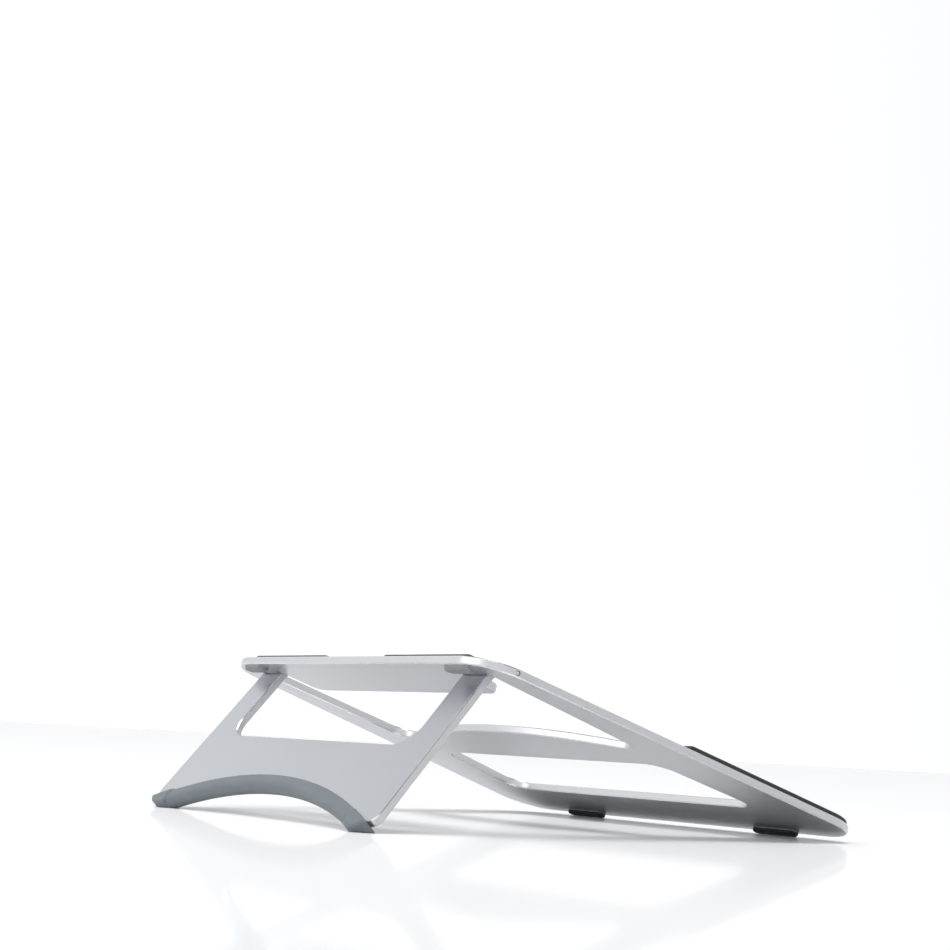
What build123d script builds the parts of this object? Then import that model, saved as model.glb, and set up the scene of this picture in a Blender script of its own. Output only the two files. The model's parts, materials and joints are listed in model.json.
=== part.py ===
from build123d import *
import math
import os

# Folding laptop stand, standing open. X runs across the stand, the front edge faces -Y, the hinge is at the
# rear and +Z is up. The origin is at the centre of the footprint, on the surface that it stands on.
# Every piece is drawn in the plate's own frame: Y = 0 at the front edge, Z = 0 at the plate's underside and
# the leg folded flat in its window. Then the leg is swung open and the whole stand is tilted.

# plate
plate_thickness = 3.5
plate_depth = 221.7
plate_rear_width = 188.5
plate_front_width = 230.4
rear_corner_radius = 20.0
front_corner_radius = 21.0
edge_chamfer = 0.5
plate_tilt = 16.7          # degrees, when the leg is open

# hinge
hinge_setback = 15.4       # axis to the rear edge
open_angle = 115.0         # degrees from folded to open
pin_diameter = 2.0
pin_running_clearance = 0.05
pin_grip = 11.0             # length held in the tongue
pin_recess = 0.25
pin_dome = 0.35
stop_clearance = 0.04
washer_thickness = 0.5
washer_width = 0.65         # radial

# leg
leg_width = 162.0
arm_width = 15.8
web_setback = 41.2          # axis to the web's upper edge
window_side_gap = 0.6
grip_window_radius = 11.0
arch_drop = 20.89           # of the crossbar's rear edge, which the folded leg nests against
arch_height = 13.46         # floor to the top of that arc, along the open leg
window_corner_radius = 8.0
fold_gap = 0.8
foot_rise = 3.76            # floor to the leg's metal end, along the leg
foot_corner_radius = 5.0

# tongue and lower window
tongue_length = 35.1        # rear edge to the tongue's front edge
tongue_corner_radius = 6.0
slot_corner_radius = 0.8
front_bar_depth = 40.0
lower_window_depth = 58.6
lower_window_rear_width = 148.4
lower_window_front_width = 164.0
lower_window_rear_radius = 11.0
lower_window_front_radius = 9.0

# leg foot trim, a U profile
trim_below_metal = 3.4
trim_grip = 3.3             # how far its lips reach up the metal
trim_half_width = 3.7
boot_half_width = 4.5
boot_length = 14.0
boot_side_inset = 0.3
boot_swell = 0.3            # how far the boots stand proud of the trim
boot_overlap = 1.0
boot_corner_radius = 9.0
trim_section_flat = 0.2      # half of the flat left at the section's round end
boot_chamfer = 0.8
lip_round = 0.9

# feet and pads
adhesive_thickness = 0.2
rubber_foot_chamfer = 0.8
rubber_foot_corner = 1.8
front_foot_length = 25.6
front_foot_depth = 6.0
front_foot_height = 2.1     # adhesive included
front_foot_inset = 0.7      # from the front edge
front_foot_centre = 64.0    # from the middle
rear_foot_length = 14.6
rear_foot_depth = 6.0
rear_foot_height = 2.1
rear_foot_inset = 0.8       # from the rear edge
top_pad_height = 2.25
top_pad_width = 8.5
top_pad_inset = 1.0         # from the plate's outline
side_pad_reach = 112.0      # how far back the front pads run
front_pad_middle_gap = 42.0
rear_pad_length = 58.0
rear_pad_centre = 49.0
rear_pad_inset = 3.6
pad_end_radius = 2.5
pad_edge_round = 0.5

# drawing aids
past = 1.0                  # how far a cutter runs past what it cuts
near = 0.1                  # reach for picking corners and edges
far = 1000.0

# derived places
half_thickness = plate_thickness / 2
hinge_y = plate_depth - hinge_setback
hinge_line = (hinge_y, half_thickness)
window_half_width = leg_width / 2 + window_side_gap
arm_inner = leg_width / 2 - arm_width
arm_middle = leg_width / 2 - arm_width / 2
tongue_half_width = arm_inner - window_side_gap
side_slope = (plate_front_width - plate_rear_width) / 2 / plate_depth
tilted = math.radians(plate_tilt)
front_foot_edge = front_foot_inset + rubber_foot_chamfer
hinge_rise = (hinge_y - front_foot_edge) * math.sin(tilted)
hinge_rise += (half_thickness + front_foot_height) * math.cos(tilted)
lean = math.radians(180 - open_angle - plate_tilt)
floor_reach = hinge_rise / math.sin(lean)                      # axis to the floor, along the leg
crossbar_crest = hinge_y - floor_reach + arch_height
arch_radius = (window_half_width**2 + arch_drop**2) / (2 * arch_drop)
arch_centre_y = crossbar_crest - arch_radius
boot_start = leg_width / 2 - boot_length
trim_radius = arch_radius + fold_gap
metal_radius = trim_radius + trim_below_metal
lip_radius = metal_radius + trim_grip
turned = math.radians(open_angle)
stop_distance = half_thickness * (1 - math.cos(turned)) / math.sin(turned) + stop_clearance


def side_x(y, inset=0.0):
    """Half width of the plate's outline at distance y from the front edge."""
    return plate_front_width / 2 - side_slope * y - inset


def block(width, depth, height, x, y, z):
    """Box centred at x, y with its underside at z."""
    return Pos(x, y, z) * Box(width, depth, height, align=(Align.CENTER, Align.CENTER, Align.MIN))


def slab(sketch, bottom, top):
    return Pos(0, 0, bottom) * extrude(sketch, top - bottom)


def corners(sketch, low, high):
    """Vertices of a sketch with low <= y <= high."""
    return [v for v in sketch.vertices() if low <= v.Y <= high]


def corners_at(sketch, y):
    return corners(sketch, y - near, y + near)


def face_edges(shape, height):
    """Edges that lie in the plane Z = height."""
    return shape.edges().filter_by_position(Axis.Z, height - near, height + near)


def plate_outline(inset=0.0):
    front, rear = inset, plate_depth - inset
    points = [(side_x(front, inset), front), (side_x(rear, inset), rear)]
    points += [(-x, y) for x, y in reversed(points)]
    outline = make_face(Polyline(*points, close=True))
    outline = fillet(corners_at(outline, rear), rear_corner_radius - inset)
    return fillet(corners_at(outline, front), front_corner_radius - inset)


def upper_window():
    rear = hinge_y + stop_distance
    length = rear - arch_centre_y
    opening = Pos(0, (rear + arch_centre_y) / 2) * Rectangle(2 * window_half_width, length)
    opening -= Pos(0, arch_centre_y) * Circle(arch_radius)
    opening = fillet(corners(opening, -far, crossbar_crest), window_corner_radius)
    tongue_front = plate_depth - tongue_length
    tongue_size = rear - tongue_front + past
    tongue = Pos(0, tongue_front + tongue_size / 2) * Rectangle(2 * tongue_half_width, tongue_size)
    tongue = fillet(corners_at(tongue, tongue_front), tongue_corner_radius)
    opening -= tongue
    return fillet(corners_at(opening, rear), slot_corner_radius)


def lower_window():
    rear = front_bar_depth + lower_window_depth
    points = [(lower_window_front_width / 2, front_bar_depth), (lower_window_rear_width / 2, rear)]
    points += [(-x, y) for x, y in reversed(points)]
    opening = make_face(Polyline(*points, close=True))
    opening = fillet(corners_at(opening, rear), lower_window_rear_radius)
    return fillet(corners_at(opening, front_bar_depth), lower_window_front_radius)


def x_rod(radius, x_from, x_to):
    """Rod along X on the hinge axis."""
    rod = Cylinder(radius, abs(x_to - x_from), rotation=(0, 90, 0))
    return Pos((x_from + x_to) / 2, *hinge_line) * rod


def pin_outer_x():
    return side_x(hinge_y)


def make_plate():
    plate = slab(plate_outline(), 0, plate_thickness)
    plate -= slab(upper_window(), -past, plate_thickness + past)
    plate -= slab(lower_window(), -past, plate_thickness + past)
    flat_edges = face_edges(plate, 0) + face_edges(plate, plate_thickness)
    # the notch walls behind the arms keep square edges, because the open leg stops against them
    kept = [e for e in flat_edges if not is_notch_edge(e)]
    plate = chamfer(kept, edge_chamfer)
    for side in (-1, 1):
        inner = tongue_half_width - pin_grip
        plate -= x_rod(pin_diameter / 2, side * inner, side * (pin_outer_x() + past))
    return plate


def is_notch_edge(edge):
    middle = edge.center()
    in_notch = tongue_half_width - near < abs(middle.X) < window_half_width + near
    return in_notch and middle.Y > hinge_y - pin_diameter


def leg_outline():
    rear = hinge_y
    size = rear - arch_centre_y
    outline = Pos(0, (rear + arch_centre_y) / 2) * Rectangle(leg_width, size)
    outline -= Pos(0, arch_centre_y) * Circle(metal_radius)
    end = hinge_y - floor_reach + foot_rise
    outline -= Pos(0, end - size / 2) * Rectangle(leg_width + 2 * past, size)
    outline = fillet(
        [v for v in outline.vertices() if abs(v.X) > leg_width / 2 - near and v.Y < rear - past],
        foot_corner_radius,
    )
    web = hinge_y - web_setback
    grip = Pos(0, web + size / 2) * Rectangle(2 * arm_inner, size)
    grip = fillet(corners_at(grip, web), grip_window_radius)
    return outline - grip


def make_leg():
    leg = slab(leg_outline(), 0, plate_thickness)
    for side in (-1, 1):
        leg += x_rod(half_thickness, side * arm_inner, side * leg_width / 2)
    flat_edges = face_edges(leg, 0) + face_edges(leg, plate_thickness)
    kept = [e for e in flat_edges if e.center().Y < hinge_y - near]
    leg = chamfer(kept, edge_chamfer)
    for side in (-1, 1):
        bore = pin_diameter / 2 + pin_running_clearance
        leg -= x_rod(bore, side * (arm_inner - past), side * (leg_width / 2 + past))
    return leg


def floor_block():
    """Everything under the standing surface, in the plate's frame."""
    big = 2 * plate_front_width
    under = Box(2 * big, 2 * big, big, align=(Align.CENTER, Align.CENTER, Align.MAX))
    return Pos(0, front_foot_edge, -front_foot_height) * Rot(-plate_tilt, 0, 0) * under


def swing(shape, angle=open_angle):
    """Turns a folded piece about the hinge axis, the foot going down and then to the rear."""
    return Pos(0, *hinge_line) * Rot(angle, 0, 0) * Pos(0, -hinge_line[0], -hinge_line[1]) * shape


def trim_section(half_width, outer, inner):
    """Section across the foot edge: flat lips on the leg's side, a round back on the floor's side."""
    across = Pos(0, (outer + inner) / 2) * Rectangle(2 * half_width, inner - outer)
    across = fillet(corners_at(across, outer), half_width - trim_section_flat)
    return fillet(corners_at(across, inner), lip_round)


def make_trim(leg):
    half_angle = math.degrees(math.asin((boot_start + boot_overlap) / trim_radius))
    section = trim_section(trim_half_width, trim_radius, lip_radius)
    # the section's own X becomes the stand's Z, and its Y runs out from the arc's centre
    placed = Plane(origin=(0, arch_centre_y, half_thickness), x_dir=(0, 0, 1), z_dir=(-1, 0, 0)) * section
    arc_axis = Axis((0, arch_centre_y, 0), (0, 0, 1))
    trim = revolve(placed.rotate(arc_axis, -half_angle), arc_axis, 2 * half_angle)
    for side in (-1, 1):
        trim += make_boot(side)
    trim -= swing(floor_block(), -open_angle)
    return trim - leg


def foot_region(width, radius, corner):
    """The leg's plan ahead of the hinge, hollowed by an arch, with rounded foot corners."""
    size = hinge_y - arch_centre_y
    region = Pos(0, (hinge_y + arch_centre_y) / 2) * Rectangle(width, size)
    region -= Pos(0, arch_centre_y) * Circle(radius)
    return fillet(corners(region, -far, hinge_y - past), corner)


def make_boot(side):
    """Block at the end of the trim, a little proud of it all round."""
    outer = leg_width / 2 - boot_side_inset
    plan = foot_region(2 * outer, trim_radius - boot_swell, boot_corner_radius)
    plan &= Pos(0, arch_centre_y) * Circle(lip_radius + boot_swell)
    plan &= Pos((outer + boot_start) / 2, hinge_y / 2) * Rectangle(outer - boot_start, hinge_y)
    boot = slab(plan, half_thickness - boot_half_width, half_thickness + boot_half_width)
    edges = face_edges(boot, half_thickness + boot_half_width)
    edges += face_edges(boot, half_thickness - boot_half_width)
    boot = chamfer(edges, boot_chamfer)
    return boot if side > 0 else mirror(boot, Plane.YZ)


def make_pin(side):
    outer = pin_outer_x() - pin_recess
    radius = pin_diameter / 2
    inner = tongue_half_width - pin_grip
    rod = x_rod(radius, side * inner, side * outer)
    return chamfer(rod.edges().filter_by(GeomType.CIRCLE), pin_dome * radius)


def make_washer(x_from, x_to):
    low, high = sorted((x_from, x_to))
    ring = x_rod(pin_diameter / 2 + washer_width, low, high)
    return ring - x_rod(pin_diameter / 2, low - past, high + past)


def make_foot(length, depth, height, x, y):
    """Rubber foot under the plate, all its lower and upright edges cut back, and its adhesive layer."""
    rubber = height - adhesive_thickness
    foot = block(length, depth, rubber, x, y, -height)
    foot = chamfer(foot.edges().filter_by(Axis.Z), rubber_foot_corner)
    foot = chamfer(face_edges(foot, -height), rubber_foot_chamfer)
    layer = block(length, depth, adhesive_thickness, x, y, -adhesive_thickness)
    layer = chamfer(layer.edges().filter_by(Axis.Z), rubber_foot_corner)
    return foot, layer


def pad_pair(plan):
    """Top pad of a plan shape, and its adhesive layer."""
    lower = plate_thickness + adhesive_thickness
    upper = plate_thickness + top_pad_height
    pad = slab(plan, lower, upper)
    pad = fillet(face_edges(pad, upper), pad_edge_round)
    return pad, slab(plan, plate_thickness, lower)


def front_pad_plan(side):
    outer_band = plate_outline(top_pad_inset) - plate_outline(top_pad_inset + top_pad_width)
    span = plate_front_width / 2 - front_pad_middle_gap / 2
    cut = Pos(side * (front_pad_middle_gap / 2 + span / 2), side_pad_reach / 2)
    plan = outer_band & cut * Rectangle(span, side_pad_reach)
    low_x = front_pad_middle_gap / 2 + near
    ends = [v for v in plan.vertices() if v.Y > side_pad_reach - near or abs(v.X) < low_x]
    return fillet(ends, pad_end_radius)


def rear_pad_plan(side):
    y = plate_depth - rear_pad_inset - top_pad_width / 2
    return Pos(side * rear_pad_centre, y) * RectangleRounded(rear_pad_length, top_pad_width, pad_end_radius)


def build():
    """All pieces in the plate's frame: fixed pieces, and pieces that swing with the leg."""
    fixed, swinging = {}, {}
    fixed["platform_plate"] = make_plate()
    leg = make_leg()
    swinging["support_leg"] = leg
    swinging["leg_foot_trim"] = make_trim(leg)
    rear_foot_y = plate_depth - rear_foot_inset - rear_foot_depth / 2
    front_foot_y = front_foot_inset + front_foot_depth / 2
    for side, name in ((-1, "left"), (1, "right")):
        fixed[f"hinge_pin_{name}"] = make_pin(side)
        wall = side * window_half_width
        inner_wall = side * tongue_half_width
        fixed[f"outer_washer_{name}"] = make_washer(wall, wall - side * washer_thickness)
        fixed[f"inner_washer_{name}"] = make_washer(inner_wall, inner_wall + side * washer_thickness)
        front = make_foot(
            front_foot_length, front_foot_depth, front_foot_height, side * front_foot_centre, front_foot_y
        )
        rear = make_foot(rear_foot_length, rear_foot_depth, rear_foot_height, side * arm_middle, rear_foot_y)
        for place, pair in (("front", front), ("rear", rear)):
            fixed[f"{place}_foot_{name}"], fixed[f"{place}_foot_adhesive_{name}"] = pair
        for place, plan in (("front", front_pad_plan(side)), ("rear", rear_pad_plan(side))):
            pad, layer = pad_pair(plan)
            fixed[f"{place}_top_pad_{name}"], fixed[f"{place}_pad_adhesive_{name}"] = pad, layer
    return fixed, swinging


def main():
    os.makedirs("parts", exist_ok=True)
    fixed, swinging = build()
    pieces = dict(fixed)
    pieces.update({name: swing(shape) for name, shape in swinging.items()})
    # tilt about the front feet's lower edge, which then lies on the standing surface
    tilt = Rot(plate_tilt, 0, 0) * Pos(0, -front_foot_edge, front_foot_height)
    pieces = {name: tilt * shape for name, shape in pieces.items()}
    boxes = [shape.bounding_box() for shape in pieces.values()]
    middle = (min(b.min.Y for b in boxes) + max(b.max.Y for b in boxes)) / 2
    for name, shape in pieces.items():
        export_step(Pos(0, -middle, 0) * shape, f"parts/{name}.step")
    hinge = (Pos(0, -middle, 0) * tilt * Pos(0, *hinge_line)).position
    print("hinge axis at Y", round(hinge.Y, 4), "Z", round(hinge.Z, 4), "mm")


main()
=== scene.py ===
import json
import math
import bmesh
import bpy
from mathutils import Matrix, Vector

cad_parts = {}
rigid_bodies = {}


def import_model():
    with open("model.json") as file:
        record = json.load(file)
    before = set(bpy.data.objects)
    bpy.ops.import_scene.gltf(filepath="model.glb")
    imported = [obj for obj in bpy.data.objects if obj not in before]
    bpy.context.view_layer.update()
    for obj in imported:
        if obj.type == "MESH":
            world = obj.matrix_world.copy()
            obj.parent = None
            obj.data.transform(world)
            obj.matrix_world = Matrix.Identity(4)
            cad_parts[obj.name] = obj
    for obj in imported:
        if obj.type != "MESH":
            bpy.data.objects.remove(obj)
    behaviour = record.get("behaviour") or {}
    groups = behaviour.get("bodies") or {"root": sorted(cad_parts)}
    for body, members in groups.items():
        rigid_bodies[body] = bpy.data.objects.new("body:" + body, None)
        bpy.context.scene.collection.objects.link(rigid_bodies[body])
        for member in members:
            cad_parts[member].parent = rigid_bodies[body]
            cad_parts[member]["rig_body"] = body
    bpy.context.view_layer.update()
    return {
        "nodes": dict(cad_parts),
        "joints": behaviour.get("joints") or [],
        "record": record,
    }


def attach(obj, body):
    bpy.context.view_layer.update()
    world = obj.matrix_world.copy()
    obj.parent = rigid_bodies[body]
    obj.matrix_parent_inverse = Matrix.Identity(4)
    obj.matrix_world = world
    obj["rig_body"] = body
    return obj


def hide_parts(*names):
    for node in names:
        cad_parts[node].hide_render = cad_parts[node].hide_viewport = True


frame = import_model()
print("frame loaded:", len(frame["nodes"]), "pieces")

scene = bpy.context.scene
millimetre = 0.001
hinge = Vector(frame["joints"][0]["pos_m"])

stand = {  # angles that the finishes and the added pieces follow
    "plateTilt": math.radians(16.7),
    "legTurn": math.radians(115.0),  # from folded to open
}


class Socket:  # one output of a node, with sums written as plain Python
    def __init__(self, tree, socket):
        self.tree, self.socket = tree, socket

    def __add__(self, other):
        return self.tree.maths("ADD", self, other)

    def __sub__(self, other):
        return self.tree.maths("SUBTRACT", self, other)

    def __rsub__(self, other):
        return self.tree.maths("SUBTRACT", other, self)

    def __mul__(self, other):
        return self.tree.maths("MULTIPLY", self, other)

    def __truediv__(self, other):
        return self.tree.maths("DIVIDE", self, other)

    def __pow__(self, other):
        return self.tree.maths("POWER", self, other)

    def __abs__(self):
        return self.tree.maths("ABSOLUTE", self)

    __radd__, __rmul__ = __add__, __mul__

    def between(self, low, high):  # 0 at low, 1 at high, smooth
        return self.tree.add(
            "ShaderNodeMapRange",
            {"interpolation_type": "SMOOTHSTEP", "clamp": True},
            {"Value": self, "From Min": low, "From Max": high},
        )


class Tree:  # a node tree that nodes are added to by type, settings and inputs
    def __init__(self, nodeTree):
        self.nodes, self.links = nodeTree.nodes, nodeTree.links

    def node(self, kind, settings=None, inputs=None):
        made = self.nodes.new(kind)
        for name, value in (settings or {}).items():
            setattr(made, name, value)
        for name, value in (inputs or {}).items():
            if isinstance(value, Socket):
                self.links.new(value.socket, made.inputs[name])
            else:
                made.inputs[name].default_value = value
        return made

    def add(self, kind, settings=None, inputs=None, output=0):
        return Socket(self, self.node(kind, settings, inputs).outputs[output])

    def maths(self, operation, *values):
        return self.add("ShaderNodeMath", {"operation": operation}, dict(enumerate(values)))

    def dot(self, first, second):  # of two vectors
        settings = {"operation": "DOT_PRODUCT"}
        return self.add("ShaderNodeVectorMath", settings, {0: first, 1: second}, output="Value")


class Finish(Tree):  # a material with the patterns that several finishes share
    def __init__(self, name, fixed):
        self.material = bpy.data.materials.new(name)
        self.material.use_nodes = True
        super().__init__(self.material.node_tree)
        self.nodes.clear()
        self.shader = self.node("ShaderNodeBsdfPrincipled", None, fixed)
        self.output = self.node("ShaderNodeOutputMaterial")
        self.links.new(self.shader.outputs[0], self.output.inputs[0])
        self.place = self.add("ShaderNodeTexCoord", output="Object")
        self.facing = self.add("ShaderNodeTexCoord", output="Normal")

    def feed(self, **varying):
        for name, value in varying.items():
            self.links.new(value.socket, self.shader.inputs[name.replace("_", " ")])

    def turned(self, angle, stretch):  # coordinates turned about X, then stretched
        return self.add(
            "ShaderNodeMapping",
            {"vector_type": "POINT"},
            {"Vector": self.place, "Rotation": (angle, 0, 0), "Scale": stretch},
        )

    def noise(self, scale, detail, rough=0.5, where=None):
        return self.add(
            "ShaderNodeTexNoise",
            {"noise_dimensions": "3D"},
            {"Vector": where or self.place, "Scale": scale, "Detail": detail, "Roughness": rough},
        )

    def speckle(self, scale):
        inputs = {"Vector": self.place, "Scale": scale}
        return self.add("ShaderNodeTexVoronoi", {"feature": "F1"}, inputs)

    def mix(self, share, first, second):
        settings = {"data_type": "RGBA", "blend_type": "MIX"}
        inputs = {0: share, 6: self.colour(first), 7: self.colour(second)}
        return self.add("ShaderNodeMix", settings, inputs, output=2)

    def colour(self, value):
        return value if isinstance(value, Socket) else (*value, 1.0)

    def along(self, direction):  # how squarely the surface faces a direction, 0 to 1
        return abs(self.dot(self.facing, direction))

    def bump(self, height, distance, strength):
        inputs = {"Height": height, "Distance": distance, "Strength": strength}
        return self.add("ShaderNodeBump", None, inputs)


camera = {
    "fromHinge": Vector((-586.5, 431.7, -28.0)) * millimetre,
    "heading": 0.8714,
    "upward": 0.1655,
    "roll": 0.0557,
    "lens": 63.39,
    "sensor": 36.0,
    "shift": (-0.0190, -0.0101),
    "clip": (0.01, 100.0),
}


def makeCamera():
    data = bpy.data.cameras.new("camera")
    data.lens, data.sensor_width = camera["lens"], camera["sensor"]
    data.shift_x, data.shift_y = camera["shift"]
    data.clip_start, data.clip_end = camera["clip"]
    heading, upward, roll = camera["heading"], camera["upward"], camera["roll"]
    level = math.cos(upward)
    look = Vector((math.sin(heading) * level, -math.cos(heading) * level, math.sin(upward)))
    right = look.cross(Vector((0, 0, 1))).normalized()
    up = right.cross(look)
    rolledRight = right * math.cos(roll) + up * math.sin(roll)
    rolledUp = up * math.cos(roll) - right * math.sin(roll)
    made = bpy.data.objects.new("camera", data)
    scene.collection.objects.link(made)
    turn = Matrix((rolledRight, rolledUp, -look)).transposed().to_4x4()
    made.matrix_world = Matrix.Translation(hinge + camera["fromHinge"]) @ turn
    scene.camera = made


makeCamera()
print("camera placed")


studio = {
    "floorSize": 30.0,
    "floorColour": (0.90, 0.90, 0.903),
    "floorCloud": (0.885, 0.885, 0.89),
    "floorNoise": (3.0, 3.0),  # scale and detail of its faint clouds
    "floorRoughness": 0.045,
    "floorSpread": 0.03,  # roughness that the clouds add
    "floorGloss": 0.27,  # share of light that the top mirrors
    "skyColour": (0.985, 0.99, 1.0),
    "skyRim": 1.08,  # strength at the horizon
    "skyHigh": 0.20,  # strength of the dark ring above it
    "skyFade": (0.57, 0.80),  # heights, 0 at the horizon and 1 overhead, between which it fades
    "skyCap": 4.5,  # strength of the soft box overhead
    "capEdge": (0.89, 0.97),
    "dimSide": Vector((-0.5, -0.84, 0.2)),  # the side that the light falls off to
    "dimFade": (0.1, 0.95),
    "dimShare": 0.22,
    "lampPlace": Vector((0.30, 1.35, 0.95)),
    "lampAim": Vector((0.0, 0.02, 0.03)),
    "lampSize": 1.5,
    "lampWatts": 6.5,
}


def makeFloor():
    half = studio["floorSize"] / 2
    mesh = bpy.data.meshes.new("floor")
    corners = [(-half, -half, 0), (half, -half, 0), (half, half, 0), (-half, half, 0)]
    mesh.from_pydata(corners, [], [(0, 1, 2, 3)])
    floor = bpy.data.objects.new("floor", mesh)
    scene.collection.objects.link(floor)
    acrylic = Finish("glossyWhiteTop", {"Specular IOR Level": 0.0, "Roughness": 1.0})
    cloud = acrylic.noise(*studio["floorNoise"])
    acrylic.feed(Base_Color=acrylic.mix(cloud, studio["floorColour"], studio["floorCloud"]))
    roughness = cloud * studio["floorSpread"] + studio["floorRoughness"]
    gloss = acrylic.add("ShaderNodeBsdfGlossy", None, {"Roughness": roughness})
    diffuse = Socket(acrylic, acrylic.shader.outputs[0])
    shares = {0: studio["floorGloss"], 1: diffuse, 2: gloss}
    both = acrylic.add("ShaderNodeMixShader", None, shares)
    acrylic.links.new(both.socket, acrylic.output.inputs[0])
    mesh.materials.append(acrylic.material)


def makeLight():
    world = bpy.data.worlds.new("softStudio")
    scene.world = world
    world.use_nodes = True
    sky = Tree(world.node_tree)
    background = world.node_tree.nodes["Background"]
    background.inputs["Color"].default_value = (*studio["skyColour"], 1.0)
    toward = sky.add("ShaderNodeTexCoord", output="Generated")
    height = sky.add("ShaderNodeSeparateXYZ", None, {0: toward}, output="Z")
    fade = height.between(*studio["skyFade"])
    side = sky.dot(toward, studio["dimSide"])
    dim = 1 - side.between(*studio["dimFade"]) * studio["dimShare"]
    ring = (studio["skyRim"] - fade * (studio["skyRim"] - studio["skyHigh"])) * dim
    box = height.between(*studio["capEdge"]) * (studio["skyCap"] - studio["skyHigh"])
    world.node_tree.links.new((ring + box).socket, background.inputs["Strength"])
    data = bpy.data.lights.new("rearLamp", "AREA")
    data.shape, data.size, data.energy = "DISK", studio["lampSize"], studio["lampWatts"]
    lamp = bpy.data.objects.new("rearLamp", data)
    scene.collection.objects.link(lamp)
    turn = (studio["lampAim"] - studio["lampPlace"]).to_track_quat("-Z", "Y")
    lamp.matrix_world = Matrix.Translation(studio["lampPlace"]) @ turn.to_matrix().to_4x4()
    scene.view_settings.view_transform = "Standard"


makeFloor()
makeLight()
print("floor and light placed")


openTurn = stand["plateTilt"] + stand["legTurn"]
axisOut = {  # the way each flat face points, in the open stand
    "platform": Vector((0, -math.sin(stand["plateTilt"]), math.cos(stand["plateTilt"]))),
    "leg": Vector((0, math.sin(openTurn), -math.cos(openTurn))),
}

aluminium = {
    "flatColour": (0.60, 0.615, 0.638),  # blasted faces
    "duskColour": (0.515, 0.532, 0.557),
    "cutColour": (0.62, 0.63, 0.645),  # milled edge walls
    "cutDusk": (0.55, 0.56, 0.577),
    "rimColour": (0.74, 0.745, 0.755),  # cut chamfers
    "flatRoughness": 0.37,
    "cutRoughness": 0.33,
    "rimRoughness": 0.27,
    "flatFacing": (0.90, 0.985),  # how squarely a flat face points out, at least and surely
    "rimFacing": 0.7071,  # a chamfer lies half way
    "rimSpread": (0.04, 0.16),
    # noises: scale in cells per metre, detail, roughness
    "grain": (2300.0, 3.0, 0.62),
    "fineGrain": (6500.0, 2.0, 0.5),
    "cloud": (26.0, 4.0, 0.55),
    "wear": (190.0, 4.0, 0.7),
    "marks": (1.0, 2.0, 0.6),
    "marksStretch": (1500.0, 1500.0, 90.0),  # long in the thickness
    "grainInColour": 0.6,
    "grainInGloss": 0.10,
    "cloudInGloss": 0.06,
    "grainHeight": 0.7,
    "fineHeight": 0.5,
    "marksHeight": 0.08,
    "wallHeight": 0.05,
    "depth": 0.00003,
    "strength": 0.7,
}


def makeAluminium(name, out, turn):
    metal = Finish(name, {"Metallic": 1.0})
    facing = metal.along(out)
    flat = facing.between(*aluminium["flatFacing"])
    rim = 1 - abs(facing - aluminium["rimFacing"]).between(*aluminium["rimSpread"])
    steep = 1 - flat
    wall = steep * (1 - rim)
    grain, fine = metal.noise(*aluminium["grain"]), metal.noise(*aluminium["fineGrain"])
    cloud, wear = metal.noise(*aluminium["cloud"]), metal.noise(*aluminium["wear"])
    marks = metal.noise(*aluminium["marks"], metal.turned(turn, aluminium["marksStretch"]))
    share = aluminium["grainInColour"]
    mottle = cloud * (1 - share) + grain * share
    blasted = metal.mix(mottle, aluminium["duskColour"], aluminium["flatColour"])
    milled = metal.mix((marks + cloud) * 0.5, aluminium["cutDusk"], aluminium["cutColour"])
    worn = metal.mix(wear, aluminium["cutColour"], aluminium["rimColour"])
    metal.feed(
        Base_Color=metal.mix(rim, metal.mix(flat, milled, blasted), worn),
        Roughness=(
            flat * aluminium["flatRoughness"]
            + wall * aluminium["cutRoughness"]
            + rim * steep * aluminium["rimRoughness"]
            + flat * (grain - 0.5) * aluminium["grainInGloss"]
            + (cloud - 0.5) * aluminium["cloudInGloss"]
        ),
    )
    height = flat * (grain * aluminium["grainHeight"] + fine * aluminium["fineHeight"])
    height = height + wall * (marks * aluminium["marksHeight"] + grain * aluminium["wallHeight"])
    metal.feed(Normal=metal.bump(height, aluminium["depth"], aluminium["strength"]))
    return metal.material


rubberKinds = {  # colour, dusty colour, roughness, grain depth
    "trimSilicone": ((0.138, 0.158, 0.173), (0.205, 0.229, 0.246), 0.54, 0.00004),
    # front feet: painted shade, the same grey rubber as the rear feet darkened to near black
    "frontFootRubberPaintedShade": ((0.013, 0.014, 0.016), (0.05, 0.052, 0.056), 0.58, 0.00005),
    "rearFootRubber": ((0.20, 0.21, 0.225), (0.30, 0.31, 0.325), 0.55, 0.00004),
    "topPadRubber": ((0.014, 0.015, 0.017), (0.045, 0.047, 0.05), 0.62, 0.00005),
}
rubberSkin = {  # what all the rubber has
    "sheen": {"Specular IOR Level": 0.42, "Sheen Weight": 0.08, "Sheen Roughness": 0.5},
    # noises: scale, detail, roughness
    "cloud": (60.0, 4.0, 0.6),
    "grain": (3800.0, 3.0, 0.65),
    "smears": (1.0, 3.0, 0.6),
    "smearStretch": (45.0, 240.0, 240.0),
    "skinScale": 2600.0,  # moulded, leather-like
    "dustBetween": (0.46, 0.70),
    "dustInColour": 0.55,
    "grainInColour": 0.18,
    "dustInGloss": 0.14,
    "grainInGloss": 0.08,
    "skinHeight": 0.5,
    "grainHeight": 0.6,
    "strength": 0.6,
}


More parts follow.
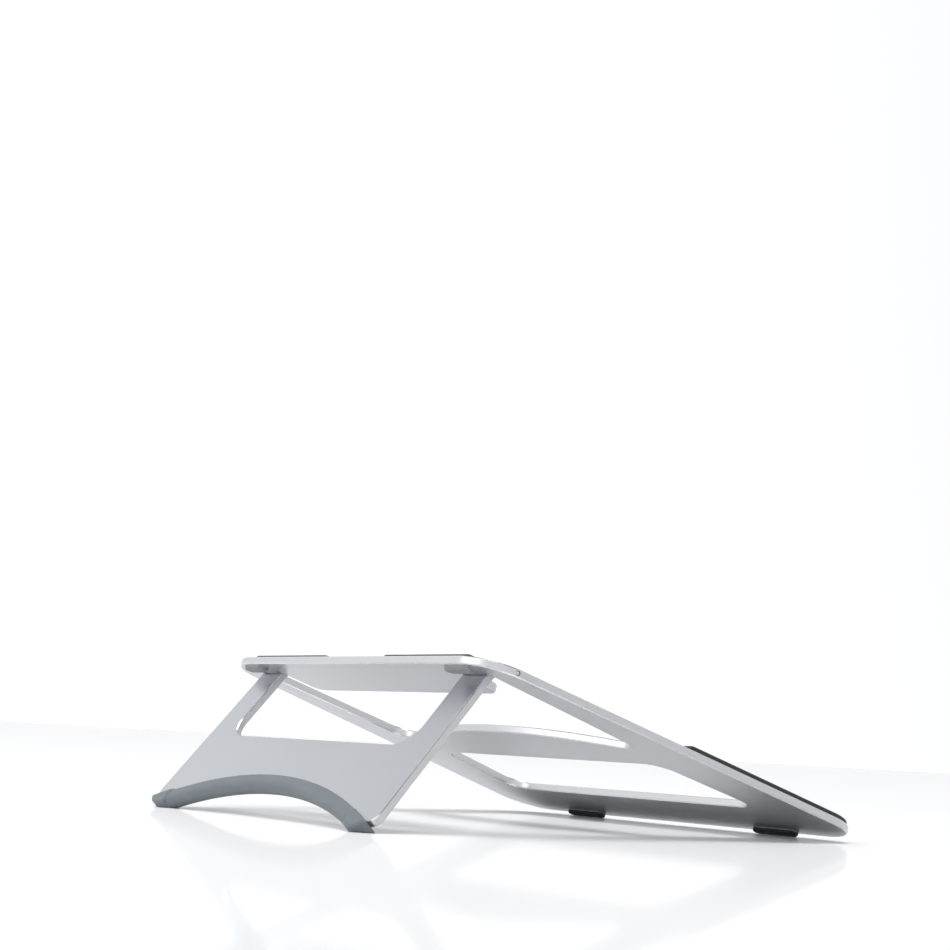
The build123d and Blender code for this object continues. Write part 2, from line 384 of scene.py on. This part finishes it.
def makeRubber(name):
    deep, dusty, roughness, depth = rubberKinds[name]
    rubber = Finish(name, rubberSkin["sheen"])
    cloud, grain = rubber.noise(*rubberSkin["cloud"]), rubber.noise(*rubberSkin["grain"])
    skin = rubber.speckle(rubberSkin["skinScale"])
    smears = rubber.noise(*rubberSkin["smears"], rubber.turned(0.0, rubberSkin["smearStretch"]))
    dust = ((cloud + smears) * 0.5).between(*rubberSkin["dustBetween"])
    dusted = dust * rubberSkin["dustInColour"] + grain * rubberSkin["grainInColour"]
    gloss = dust * rubberSkin["dustInGloss"] + grain * rubberSkin["grainInGloss"]
    height = skin * rubberSkin["skinHeight"] + grain * rubberSkin["grainHeight"]
    rubber.feed(
        Base_Color=rubber.mix(dusted, deep, dusty),
        Roughness=gloss + roughness,
        Normal=rubber.bump(height, depth, rubberSkin["strength"]),
    )
    return rubber.material


pinSteel = {
    "dark": (0.50, 0.50, 0.51),
    "bright": (0.62, 0.62, 0.63),
    "rimColour": (0.30, 0.30, 0.31),
    "rimBetween": (0.0007, 0.00095),  # metres from the axis
    "cloud": (700.0, 3.0),
    "ringRate": 60000.0,  # rings left by the lathe, radians per metre
    "roughness": 0.22,
    "ringInGloss": 0.12,
    "cloudInGloss": 0.10,
    "depth": 0.00001,
    "strength": 0.4,
}


def makeSteel():
    steel = Finish("groundSteel", {"Metallic": 1.0})
    split = steel.node("ShaderNodeSeparateXYZ", None, {0: steel.place})
    across = Socket(steel, split.outputs["Y"]) - hinge.y
    upward = Socket(steel, split.outputs["Z"]) - hinge.z
    radius = (across * across + upward * upward) ** 0.5
    rings = steel.maths("SINE", radius * pinSteel["ringRate"])
    cloud = steel.noise(*pinSteel["cloud"])
    ground = steel.mix(cloud, pinSteel["dark"], pinSteel["bright"])
    rim = radius.between(*pinSteel["rimBetween"])
    gloss = rings * pinSteel["ringInGloss"] + cloud * pinSteel["cloudInGloss"]
    steel.feed(
        Base_Color=steel.mix(rim, ground, pinSteel["rimColour"]),
        Roughness=gloss + pinSteel["roughness"],
        Normal=steel.bump(rings, pinSteel["depth"], pinSteel["strength"]),
    )
    return steel.material


# specular level, cloud and grain scales, two colours, roughness, what the grain adds to it
plasticKinds = {
    "naturalPolymer": (0.45, 900.0, 5200.0, (0.62, 0.60, 0.55), (0.74, 0.72, 0.67), 0.40, 0.15),
    "adhesiveFilm": (0.5, 420.0, 2600.0, (0.42, 0.42, 0.40), (0.58, 0.58, 0.55), 0.30, 0.2),
}
plasticGrain = {"cloudDetail": 3.0, "grainDetail": 2.0, "depth": 0.00002, "strength": 0.5}


def makePlastic(name):
    specular, cloudScale, grainScale, deep, pale, roughness, spread = plasticKinds[name]
    plastic = Finish(name, {"Specular IOR Level": specular})
    cloud = plastic.noise(cloudScale, plasticGrain["cloudDetail"])
    grain = plastic.noise(grainScale, plasticGrain["grainDetail"])
    plastic.feed(
        Base_Color=plastic.mix(cloud, deep, pale),
        Roughness=grain * spread + roughness,
        Normal=plastic.bump(grain, plasticGrain["depth"], plasticGrain["strength"]),
    )
    return plastic.material


finishes = {
    "plate_aluminium": makeAluminium("blastedPlate", axisOut["platform"], -stand["plateTilt"]),
    "leg_aluminium": makeAluminium("blastedLeg", axisOut["leg"], -openTurn),
    "pin_steel": makeSteel(),
    "washer_polymer": makePlastic("naturalPolymer"),
    "trim_silicone": makeRubber("trimSilicone"),
    "front_foot_rubber": makeRubber("frontFootRubberPaintedShade"),
    "rear_foot_rubber": makeRubber("rearFootRubber"),
    "top_pad_rubber": makeRubber("topPadRubber"),
    "adhesive_film": makePlastic("adhesiveFilm"),
}


def dressNodes():
    for piece in frame["record"]["subparts"]:
        for place in frame["nodes"][piece["node"]].material_slots:
            place.material = finishes[piece["material_slot"]]


dressNodes()


shells = {  # the metal and the moulded pieces, with softened edges and smooth curves
    "mergeWithin": 2e-6,
    "flatWithin": math.radians(0.4),  # neighbouring faces that count as one
    "softenAbove": math.radians(28),  # edges sharper than this are softened
    "segments": 2,
    "flatWeight": 80,  # how strongly the broad faces lead the shading
    "pieces": {  # node: name, slot, edge softening in mm
        "platform_plate": ("plateShell", "plate_aluminium", 0.10),
        "support_leg": ("legShell", "leg_aluminium", 0.10),
        "rear_foot_left": ("rearFootLeft", "rear_foot_rubber", 0.08),
        "rear_foot_right": ("rearFootRight", "rear_foot_rubber", 0.08),
        "front_foot_left": ("frontFootLeft", "front_foot_rubber", 0.22),
        "front_foot_right": ("frontFootRight", "front_foot_rubber", 0.22),
    },
}


def plainMesh(made, name):  # modifiers turned into a plain mesh
    graph = bpy.context.evaluated_depsgraph_get()
    mesh = bpy.data.meshes.new_from_object(made.evaluated_get(graph), depsgraph=graph)
    made.modifiers.clear()
    old, made.data = made.data, mesh
    bpy.data.meshes.remove(old)
    mesh.name = name
    return mesh


def standIn(made, body, slotName, node):  # a finished piece, dressed, takes its CAD node's place
    made.data.materials.clear()
    made.data.materials.append(finishes[slotName])
    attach(made, body)
    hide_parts(node)


def mergedCopy(node, name):
    mesh = frame["nodes"][node].data.copy()
    shape = bmesh.new()
    shape.from_mesh(mesh)
    bmesh.ops.remove_doubles(shape, verts=shape.verts, dist=shells["mergeWithin"])
    bmesh.ops.dissolve_limit(
        shape,
        angle_limit=shells["flatWithin"],
        use_dissolve_boundaries=False,
        verts=shape.verts,
        edges=shape.edges,
    )
    for face in shape.faces:
        face.smooth = True
    shape.to_mesh(mesh)
    shape.free()
    made = bpy.data.objects.new(name, mesh)
    scene.collection.objects.link(made)
    return made


def makeShell(node, name, slotName, softening):
    made = mergedCopy(node, name)
    bevel = made.modifiers.new("softEdges", "BEVEL")
    bevel.width, bevel.segments = softening * millimetre, shells["segments"]
    bevel.limit_method, bevel.angle_limit = "ANGLE", shells["softenAbove"]
    weighted = made.modifiers.new("flatFacesLead", "WEIGHTED_NORMAL")
    weighted.keep_sharp, weighted.weight = True, shells["flatWeight"]
    plainMesh(made, name)
    standIn(made, frame["nodes"][node]["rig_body"], slotName, node)


for node, settings in shells["pieces"].items():
    makeShell(node, *settings)
print("shells made:", len(shells["pieces"]))


trim = {  # silicone on the leg's foot
    "voxel": 0.36,  # mm
    "smoothFactor": 0.5,
    "smoothRounds": 5,
}


def makeTrim():
    made = mergedCopy("leg_foot_trim", "footTrim")
    remesh = made.modifiers.new("evenSkin", "REMESH")
    remesh.mode, remesh.voxel_size = "VOXEL", trim["voxel"] * millimetre
    remesh.use_smooth_shade = True
    smooth = made.modifiers.new("moulded", "SMOOTH")
    smooth.factor, smooth.iterations = trim["smoothFactor"], trim["smoothRounds"]
    plainMesh(made, "footTrim")
    standIn(made, "leg", "trim_silicone", "leg_foot_trim")
    print("trim faces:", len(made.data.polygons))


makeTrim()


plate = {  # in its own plane, mm
    "thickness": 3.5,
    "depth": 221.7,
    "rearWidth": 188.5,
    "frontWidth": 230.4,
    "frontCorner": 21.0,
    "hingeBack": 206.3,  # front edge to hinge axis
}
topPads = {  # a grooved profile swept along the plate's outline, mm
    "width": 8.5,
    "rise": 2.05,  # above the adhesive
    "adhesive": 0.2,
    "inset": 1.0,
    "sideReach": 112.0,
    "middleGap": 42.0,
    "rearLength": 58.0,
    "rearCentre": 49.0,
    "rearInset": 3.6,
    "grooves": 5,
    "grooveDepth": 0.22,
    "step": 0.8,  # along the path
    "taper": 2.2,
    "leastEnd": 0.12,  # square of the least share of the section left at an end
    "cornerPoints": 24,
    "profilePoints": 81,
    "sidePower": 7.0,  # how square the section's shoulders are
    "crownRoot": 3.5,
    "groovedTo": (0.72, 0.80),  # share of the half width, where the grooves fade out
    "grooveWave": (0.35, 0.95),  # heights of the wave that a groove is cut between
}


def geometryTree(name, sizes):  # a geometry in and out, and one named number for each size
    tree = bpy.data.node_groups.new(name, "GeometryNodeTree")
    tree.interface.new_socket("Geometry", in_out="INPUT", socket_type="NodeSocketGeometry")
    tree.interface.new_socket("Geometry", in_out="OUTPUT", socket_type="NodeSocketGeometry")
    for size in sizes:
        tree.interface.new_socket(size, in_out="INPUT", socket_type="NodeSocketFloat")
    tree.interface.new_socket("Finish", in_out="INPUT", socket_type="NodeSocketMaterial")
    return tree


def growGeometry(made, tree, values, finish):  # adds the modifier and sets its inputs by identifier
    grow = made.modifiers.new(tree.name, "NODES")
    grow.node_group = tree
    for item in tree.interface.items_tree:
        if item.in_out == "INPUT" and item.socket_type != "NodeSocketGeometry":
            grow[item.identifier] = finish if item.name == "Finish" else values[item.name]


def makePadTree():
    sizes = ("Width", "Rise", "Corner Radius", "Grooves", "Groove Depth", "Step", "Taper")
    group = geometryTree("padSweep", sizes)
    tree = Tree(group)
    inputs = tree.node("NodeGroupInput")
    given = {name: Socket(tree, inputs.outputs[name]) for name in ("Geometry", "Finish", *sizes)}

    # profile: a flat base closed over by a blunt crown with grooves in it
    count = topPads["profilePoints"]
    points = tree.add("GeometryNodeMeshLine", {"mode": "OFFSET"}, {"Count": count})
    part = tree.add("GeometryNodeInputIndex") / (count - 1)
    across = tree.maths("COSINE", part * math.pi) * -1  # from -1 to 1, closer set at the sides
    shoulder = tree.maths("MAXIMUM", 1 - abs(across) ** topPads["sidePower"], 0.0)
    crown = shoulder ** (1 / topPads["crownRoot"])
    wave = tree.maths("COSINE", across * given["Grooves"] * math.pi)
    inner = 1 - abs(across).between(*topPads["groovedTo"])
    groove = wave.between(*topPads["grooveWave"]) * inner * given["Groove Depth"]
    height = crown * given["Rise"] - groove
    place = {"X": across * given["Width"] * 0.5, "Y": height * -1}
    spot = tree.add("ShaderNodeCombineXYZ", None, place)
    placed = tree.add("GeometryNodeSetPosition", None, {"Geometry": points, "Position": spot})
    profile = tree.add("GeometryNodeMeshToCurve", None, {"Mesh": placed})
    profile = tree.add("GeometryNodeSetSplineCyclic", None, {"Geometry": profile, "Cyclic": True})

    # path: corners rounded, even steps, ends drawn in
    path = tree.add("GeometryNodeMeshToCurve", None, {"Mesh": given["Geometry"]})
    rounded = {"Curve": path, "Radius": given["Corner Radius"], "Limit Radius": True}
    rounded["Count"] = topPads["cornerPoints"]
    path = tree.add("GeometryNodeFilletCurve", {"mode": "POLY"}, rounded)
    steps = {"Curve": path, "Length": given["Step"]}
    path = tree.add("GeometryNodeResampleCurve", {"mode": "LENGTH"}, steps)
    path = tree.add("GeometryNodeSetCurveNormal", {"mode": "Z_UP"}, {"Curve": path})
    along = tree.add("GeometryNodeSplineParameter", output="Length")
    whole = tree.add("GeometryNodeSplineLength", output="Length")
    fromEnd = tree.maths("MINIMUM", along, whole - along) / given["Taper"]
    short = 1 - tree.maths("MINIMUM", fromEnd, 1.0)
    swell = tree.maths("MAXIMUM", 1 - short * short, topPads["leastEnd"]) ** 0.5
    swept = tree.add(
        "GeometryNodeCurveToMesh",
        None,
        {"Curve": path, "Profile Curve": profile, "Scale": swell, "Fill Caps": True},
    )
    swept = tree.add("GeometryNodeSetShadeSmooth", None, {0: swept, "Shade Smooth": True})
    swept = tree.add("GeometryNodeRealizeInstances", None, {"Geometry": swept})
    dressed = {"Geometry": swept, "Material": given["Finish"]}
    swept = tree.add("GeometryNodeSetMaterial", None, dressed)
    tree.node("NodeGroupOutput", None, {"Geometry": swept})
    return group


def plateFrame(lift):  # from the plate's own plane, mm from its front edge, to the open stand
    tilt = Matrix.Rotation(stand["plateTilt"], 4, "X")
    back = Vector((0, plate["hingeBack"], -plate["thickness"] / 2 - lift))
    return Matrix.Translation(hinge) @ tilt @ Matrix.Translation(-back * millimetre)


def padPath(points, name):
    mesh = bpy.data.meshes.new(name)
    edges = [(i, i + 1) for i in range(len(points) - 1)]
    mesh.from_pydata([(x * millimetre, y * millimetre, 0) for x, y in points], edges, [])
    made = bpy.data.objects.new(name, mesh)
    scene.collection.objects.link(made)
    return made


def closeMesh(mesh):  # doubles merged, faces turned outwards
    shape = bmesh.new()
    shape.from_mesh(mesh)
    bmesh.ops.remove_doubles(shape, verts=shape.verts, dist=shells["mergeWithin"])
    bmesh.ops.recalc_face_normals(shape, faces=shape.faces)
    shape.to_mesh(mesh)
    shape.free()


def makePads():
    tree = makePadTree()
    slope = (plate["frontWidth"] - plate["rearWidth"]) / 2 / plate["depth"]
    middle = topPads["inset"] + topPads["width"] / 2  # from the plate's edge to the pad's middle
    sideMiddle = plate["frontWidth"] / 2 - middle
    rearLine = plate["depth"] - topPads["rearInset"] - topPads["width"] / 2
    halfRear = topPads["rearLength"] / 2
    values = {
        "Width": topPads["width"] * millimetre,
        "Rise": topPads["rise"] * millimetre,
        "Corner Radius": (plate["frontCorner"] - middle) * millimetre,
        "Grooves": float(topPads["grooves"]),
        "Groove Depth": topPads["grooveDepth"] * millimetre,
        "Step": topPads["step"] * millimetre,
        "Taper": topPads["taper"] * millimetre,
    }
    for side, word in ((-1, "Left"), (1, "Right")):
        front = [
            (side * (sideMiddle - slope * topPads["sideReach"]), topPads["sideReach"]),
            (side * (sideMiddle - slope * middle), middle),
            (side * topPads["middleGap"] / 2, middle),
        ]
        rear = [
            (side * (topPads["rearCentre"] - halfRear), rearLine),
            (side * (topPads["rearCentre"] + halfRear), rearLine),
        ]
        for place, points in (("front", front), ("rear", rear)):
            name = f"{place}TopPad{word}"
            made = padPath(points, name)
            growGeometry(made, tree, values, finishes["top_pad_rubber"])
            mesh = plainMesh(made, name)
            mesh.transform(plateFrame(topPads["adhesive"]))
            closeMesh(mesh)
            standIn(made, "platform", "top_pad_rubber", f"{place}_top_pad_{word.lower()}")


makePads()
print("top pads made")
